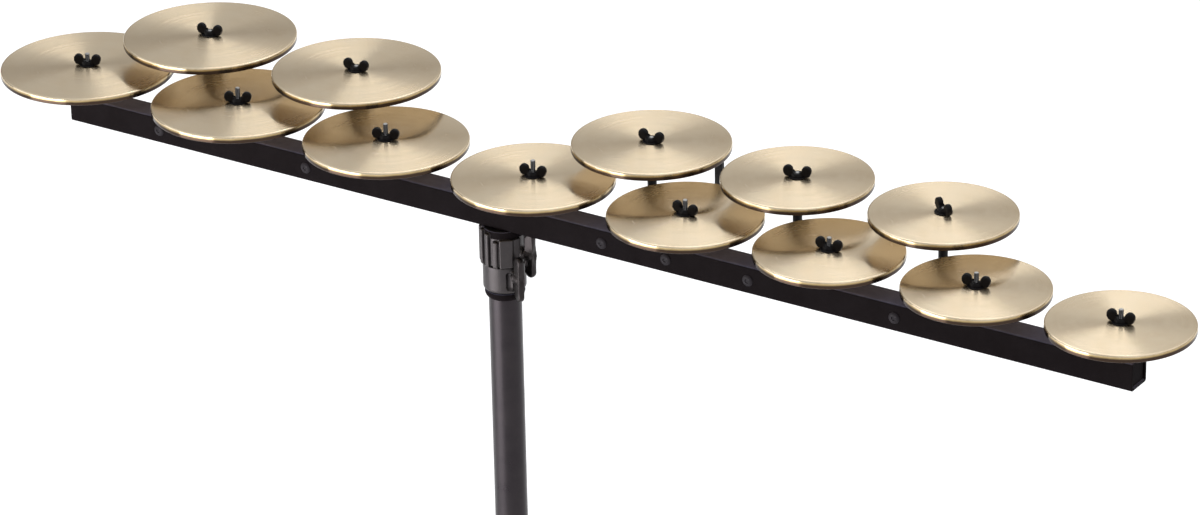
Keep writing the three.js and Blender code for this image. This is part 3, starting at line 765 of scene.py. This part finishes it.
def collar_shape(height):
    """A smooth sleeve with an oval pocket beside its bolt."""
    mouth, lip, end = 9.8, height - 4, 3.2
    profile = [(0, 0), (14.6, 0), (COLLAR_RADIUS, 1.6, 0.8), (COLLAR_RADIUS, height, 0.9), (0, height)]
    bolt_boss = moved(boss(COLLAR_REACH), shift(z=height - COLLAR_BOLT_DROP), turn("Z", COLLAR_BOLT_TURN))
    steps = [(0, -1), (TUBE_BORE, -1), (TUBE_BORE, lip), (mouth, lip), (mouth, height + 1), (0, height + 1)]
    lower = [(0, end), (1.6, end, 0.5), (2.8, end + 2)]
    upper = [(r, height - z, *fillet) for r, z, *fillet in lower[::-1]]
    pocket = moved(lathe(lower + upper, 24), shift(x=17.4), turn("Z", POCKET_TURN))
    cuts = [lathe(steps), pocket]
    return cast("collar", [lathe(profile, 64), bolt_boss], cuts, voxel=0.4, rounds=3, keep=0.35)


def skirt_shape():
    """Round-edged ring on the tube under the collar, with z = 0 at the collar's foot."""
    outside = [(15.0, -0.6, 0.5), (15.2, -3.6, 1.6), (13.4, -6.6, 1.5)]
    return lathe([(TUBE_BORE, -0.6), *outside, (TUBE_BORE, -6.8)], 64, closed=True)


def wing_outline(start):
    """Two tall ears joined by a narrow waist, along Z, standing out along X."""
    ear, centre, waist = 4, 14, 4.6
    middle = start + ear
    upper, lower = arc(middle, centre, ear, 0, 180, 10), arc(middle, -centre, ear, 180, 180, 10)
    inner = [(start, waist), (start, -waist)]
    outer = [(middle + 3.4, -5), (middle + 2.4, 0), (middle + 3.4, 5)]
    return upper + inner + lower + outer


def wing_shape(name, reach, tip):
    """A wing bolt along X. Its shaft starts at the tip, and its shoulder sits on a boss of that reach."""
    start = reach + SEAT_GAP
    end = start + 1.6
    shaft = lathe([(0, tip), (3, tip, 0.4), (3, start), (4.6, start, 0.3), (4.6, end, 0.6), (0, end)], 32)
    hub = lathe([(0, start), (4.3, start), (3.6, start + 7, 1.2), (0, start + 7)], 32)
    turned = [moved(shape, turn("Y", 90)) for shape in (shaft, hub)]
    wing = slab(wing_outline(start + 0.8), 5, 1.8, 3)
    return cast(name, [*turned, wing], voxel=0.35, rounds=3, keep=0.3)


def add_wing(name, reach, tip, body, height, pose=None):
    at = (*column, height)
    piece(name, wing_shape(name, reach, tip), WING, body, at, pose, [body], even=False)


column = (sum(v.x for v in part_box("height_rod")) / 2 / MM, 0)
socket_low, socket_high = (v.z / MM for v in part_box("bar_socket"))
collar_low, collar_high = (v.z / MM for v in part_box("tube_collar"))
socket_bolt_z = sum(v.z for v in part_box("socket_bolt")) / 2 / MM
socket = socket_shape(socket_high - socket_low, socket_bolt_z - socket_low)
piece("socket", socket, CASTING, "rack", (*column, socket_low), stands_for=["bar_socket"], even=False)
# A black band round the top of the socket: painted shade under the bar and the discs.
neck = lathe([(0, 0), (15.6, 0), (15.6, PAD_DROP, 0.4), (0, PAD_DROP)], 64)
piece("socket_shade_band", neck, BAR, "rack", (*column, socket_high - PAD_DROP))
# The ring under the collar is in the bar's black paint: partly its own dark bottom, partly painted shade
# under the collar.
piece("skirt", skirt_shape(), BAR, "stand", (*column, collar_low))
collar = collar_shape(collar_high - collar_low)
piece("collar", collar, CASTING, "stand", (*column, collar_low), stands_for=["tube_collar"], even=False)
add_wing("socket_wing", SOCKET_REACH, ROD_BORE, "socket_bolt", socket_bolt_z)
collar_pose = turn("Z", COLLAR_BOLT_TURN)
add_wing("collar_wing", COLLAR_REACH, ROD_BORE, "collar_bolt", collar_high - COLLAR_BOLT_DROP, collar_pose)
tube_low, tube_high = (v.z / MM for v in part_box("column_tube"))
outside = [(TUBE_OUTER, tube_low, 0.3), (TUBE_OUTER, tube_high, 0.3)]
tube = lathe([(TUBE_INNER, tube_low), *outside, (TUBE_INNER, tube_high)], 64, closed=True)
piece("tube", tube, STAND, "stand", (*column, 0), stands_for=["column_tube"])
rod_low, rod_high = (v.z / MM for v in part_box("height_rod"))
rod = lathe([(0, rod_low), (ROD_RADIUS, rod_low, 1), (ROD_RADIUS, rod_high, 1), (0, rod_high)])
piece("rod", rod, BLACK, "height_rod", (*column, 0), stands_for=["height_rod"])


# Tripod


def link_outline(length, width):
    """A strip with round ends, from its pivot at 0 along X."""
    return arc(0, 0, width / 2, 90, 180, 12) + arc(length, 0, width / 2, -90, 180, 12)


def lug(thickness, offset=0):
    return moved(slab(link_outline(PIVOT_RADIUS, LUG_WIDTH), thickness, 0.6), shift(y=offset))


def leg_hub_shape():
    sleeve = lathe([(0, -18), (17, -18, 1.2), (17, 18, 1.2), (0, 18)], 64)
    lugs = [moved(lug(10), turn("Z", degrees)) for degrees in LEG_TURNS]
    bore = cylinder(HUB_BORE, -19, 19)
    return cast("leg_hub", [sleeve, *lugs, boss(HUB_REACH)], [bore], voxel=0.6, rounds=4, keep=0.35)


def brace_hub_shape():
    sleeve = lathe([(0, -13), (16.5, -13, 2), (16.5, 13, 1.2), (0, 13)], 64)
    cheeks = [moved(lug(2.6, y), turn("Z", degrees)) for degrees in LEG_TURNS for y in (-3.6, 3.6)]
    bore = cylinder(HUB_BORE, -10, 14)
    return cast("brace_hub", [sleeve, *cheeks], [bore], voxel=0.6, rounds=3, keep=0.35)


def rivet(half):
    """A pin along Y with a low domed head at each end."""
    radius, pin = 4.2, 2.5
    dome = [(0, half + 1.2), (radius * 0.6, half + 1.05), (radius, half + 0.1), (radius, half), (pin, half)]
    return moved(lathe([(r, -z) for r, z in dome] + dome[::-1], 28), turn("X", 90))


def foot_shape():
    """Ribbed rubber sleeve on the leg's end with a flat pad under it, in the leg's side frame."""
    start, end = LEG_LENGTH - 30, LEG_LENGTH + 5
    ribs = [(0, start), (12.4, start, 0.8)]
    for k in range(5):
        z = start + 3 + 5 * k
        ribs += [(13.3, z), (13.3, z + 2.4), (12.3, z + 3.1), (12.3, z + 4.3)]
    ribs += [(13.4, end - 4, 1), (13.4, end, 3), (0, end)]
    sleeve = moved(lathe(ribs), turn("Y", 90), turn("Y", LEG_TILT), shift(x=PIVOT_RADIUS, z=HUB_PIVOT))
    pad = moved(lathe([(0, 0), (13.4, 0, 0.8), (13.4, 7, 1.5), (0, 7)]), shift(x=PIVOT_RADIUS + LEG_RUN))
    mesh = cast("foot", [sleeve, pad], voxel=0.6, rounds=2, keep=0.4)
    for vertex in mesh.vertices:
        vertex.co.z = max(vertex.co.z, 0)
    return mesh


def eye_shape():
    """The round end of a brace, along Y."""
    return moved(lathe([(0, -5), (6.5, -5, 0.5), (6.5, 5, 0.5), (0, 5)], 32), turn("X", 90))


def add_leg(i, degrees):
    """One leg of two strips, its foot and its brace."""
    side = turn("Z", degrees)
    base = Vector((*column, 0))
    leg, leg_pose = f"leg_{i}", side @ turn("Y", LEG_TILT)
    brace, brace_pose = f"brace_{i}", side @ turn("Y", -LEG_TILT)

    def on_leg(x, y=0):
        """A place on the leg, from its pivot."""
        return base + side @ Vector((PIVOT_RADIUS, 0, HUB_PIVOT)) + leg_pose @ Vector((x, y, 0))

    def on_brace(x):
        """A place on the brace, from its pivot."""
        return base + side @ Vector((PIVOT_RADIUS, 0, BRACE_PIVOT)) + brace_pose @ Vector((x, 0, 0))

    piece(f"{leg}_strip_left", STRIP, STAND, leg, on_leg(0, -STRIP_OFFSET), leg_pose, [leg])
    piece(f"{leg}_strip_right", STRIP, STAND, leg, on_leg(0, STRIP_OFFSET), leg_pose)
    pins = (
        ("top_pin", LEG_PIN, 0),
        ("brace_rivet", LEG_PIN, BRACE_LENGTH),
        ("spacer", SPACER, SPACER_AT),
        ("spacer_rivet", LEG_PIN, SPACER_AT),
    )
    for name, shape, x in pins:
        piece(f"{leg}_{name}", shape, BLACK, leg, on_leg(x), leg_pose)
    piece(f"rubber_{i}", FOOT, RUBBER, leg, base, side, [f"foot_{i}"], even=False)
    piece(f"{brace}_bar", BRACE, STAND, brace, on_brace(0), brace_pose, [brace])
    piece(f"{brace}_eye", EYE, STAND, brace, on_brace(BRACE_LENGTH), brace_pose)
    piece(f"{brace}_pin", BRACE_PIN, BLACK, brace, on_brace(0), brace_pose)


hub_at, brace_hub_at = (*column, HUB_PIVOT), (*column, BRACE_PIVOT)
piece("leg_collar", leg_hub_shape(), STAND, "leg_hub", hub_at, stands_for=["leg_hub"], even=False)
piece("brace_collar", brace_hub_shape(), STAND, "stand", brace_hub_at, stands_for=["brace_hub"], even=False)
add_wing("hub_wing", HUB_REACH, HUB_BORE + 0.05, "hub_bolt", HUB_PIVOT)
STRIP = to_mesh("strip", slab(link_outline(LEG_LENGTH, LEG_WIDTH), STRIP_THICKNESS, 0.5))
LEG_PIN = to_mesh("leg_pin", rivet(7.8))
BRACE_PIN = to_mesh("brace_pin", rivet(5.2))
BRACE = to_mesh("brace", slab(link_outline(BRACE_LENGTH, BRACE_WIDTH), BRACE_THICKNESS, 0.7))
EYE = to_mesh("eye", eye_shape())
SPACER = to_mesh("spacer", moved(cylinder(4, -5.4, 5.4, 28), turn("X", 90)))
FOOT = foot_shape()
for i, degrees in enumerate(LEG_TURNS, 1):
    add_leg(i, degrees)


# Camera, floor and light

CAMERA_TURN, CAMERA_PITCH, CAMERA_ROLL = 0.581976, 0.437331, 0.020343
CAMERA_DISTANCE, CAMERA_ACROSS, CAMERA_DOWN = 3740.0, -4.7762, -48.4265
CAMERA_TARGET = (24.4, 0, 950)
CAMERA_LENS, CAMERA_SENSOR = 154.53, 36
FLOOR_WHITE, FLOOR_LIFT, FLOOR_HALF, FLOOR_SINK = (0.82, 0.82, 0.82, 1), 0.5, 25, 0.0003
ROOM_LOW, ROOM_HIGH = 0.42, 1.0
ROOM_ACROSS, ROOM_LEFT = (0.84, 0.55), 0.75
ROOM_WARM, ROOM_COOL = (1, 0.94, 0.85), (1, 1.02, 1.05)
ROOM_RISE, ROOM_SHADE, ROOM_COOLING = (0.3, 0.62), (-0.14, 0.06), (0.1, 0.6)


def add_camera():
    """A long lens at the viewpoint of the photograph. The turn, pitch and roll are in radians."""
    across = Vector((math.cos(CAMERA_TURN), math.sin(CAMERA_TURN), 0))
    ahead = Vector((-math.sin(CAMERA_TURN), math.cos(CAMERA_TURN), 0))
    up = Vector((0, 0, 1))
    forward = ahead * math.cos(CAMERA_PITCH) - up * math.sin(CAMERA_PITCH)
    down = -(up * math.cos(CAMERA_PITCH) + ahead * math.sin(CAMERA_PITCH))
    right = across * math.cos(CAMERA_ROLL) + down * math.sin(CAMERA_ROLL)
    below = down * math.cos(CAMERA_ROLL) - across * math.sin(CAMERA_ROLL)
    back = -(right * CAMERA_ACROSS + below * CAMERA_DOWN + forward * CAMERA_DISTANCE)
    data = bpy.data.cameras.new("camera")
    data.lens, data.sensor_width = CAMERA_LENS, CAMERA_SENSOR
    data.clip_start, data.clip_end = 0.05, 100
    camera = add_object("camera", data)
    axes = Matrix((right, -below, -forward)).transposed().to_4x4()
    camera.matrix_world = Matrix.Translation((Vector(CAMERA_TARGET) + back) * MM) @ axes
    scene.camera = camera


def seen_directly(tree):
    """1 for camera, glossy and transmission rays."""
    path = new(tree, "ShaderNodeLightPath", {}).outputs
    both = calc(tree, "MAXIMUM", path["Is Camera Ray"], path["Is Glossy Ray"])
    return calc(tree, "MAXIMUM", both, path["Is Transmission Ray"])


def add_floor():
    """A plain white floor that shows as white, and still takes the object's shadow."""
    material, tree, shader = blank("floor")
    surface = {
        "Base Color": FLOOR_WHITE,
        "Roughness": 0.9,
        "Specular IOR Level": 0.1,
        "Emission Color": (1, 1, 1, 1),
        "Emission Strength": calc(tree, "MULTIPLY", seen_directly(tree), FLOOR_LIFT),
    }
    fill(tree, shader, surface)
    bm = bmesh.new()
    bmesh.ops.create_grid(bm, x_segments=4, y_segments=4, size=FLOOR_HALF)
    mesh = bpy.data.meshes.new("floor")
    bm.to_mesh(mesh)
    bm.free()
    mesh.materials.append(material)
    floor = add_object("floor", mesh)
    floor.location.z = -FLOOR_SINK


def add_world():
    """A soft room, dim and warm at the horizon, bright and cooler overhead, a little darker at the left."""
    world = bpy.data.worlds.new("room")
    world.use_nodes = True
    scene.world = world
    tree = world.node_tree
    way = split(tree, coordinate(tree, "Generated"))
    rise = spread(tree, way["Z"], *ROOM_RISE, ROOM_LOW, ROOM_HIGH, interpolation_type="SMOOTHSTEP")
    parts = [calc(tree, "MULTIPLY", way[axis], weight) for axis, weight in zip("XY", ROOM_ACROSS)]
    side = spread(tree, calc(tree, "ADD", *parts), *ROOM_SHADE, to_low=ROOM_LEFT)
    light = {
        "Strength": calc(tree, "MULTIPLY", rise, side),
        "Color": tint(tree, spread(tree, way["Z"], *ROOM_COOLING), ROOM_WARM, ROOM_COOL),
    }
    fill(tree, tree.nodes["Background"], light)


def add_lamp(name, at, aim, size, watts, hidden=False):
    """A rectangle of light. A hidden one doesn't show in the picture itself."""
    data = bpy.data.lights.new(name, "AREA")
    data.shape, data.size, data.size_y = "RECTANGLE", *size
    data.energy = watts
    lamp = add_object(name, data)
    lamp.location = at
    lamp.visible_camera = not hidden
    lamp.rotation_mode = "QUATERNION"
    lamp.rotation_quaternion = (Vector(aim) - Vector(at)).to_track_quat("-Z", "Y")


add_camera()
add_floor()
add_world()
add_lamp("overhead", (-0.75, 1.4, 2.9), (0.05, 0, 0.95), size=(1.2, 1.0), watts=6.5)
add_lamp("side", (-2.3, -1.7, 1.5), (0, 0, 0.95), size=(2.2, 1.4), watts=14)
add_lamp("low", (-0.85, -1.55, 0.3), (0, 0, 0.85), size=(1.5, 1.0), watts=32, hidden=True)
scene.view_settings.view_transform = "Standard"
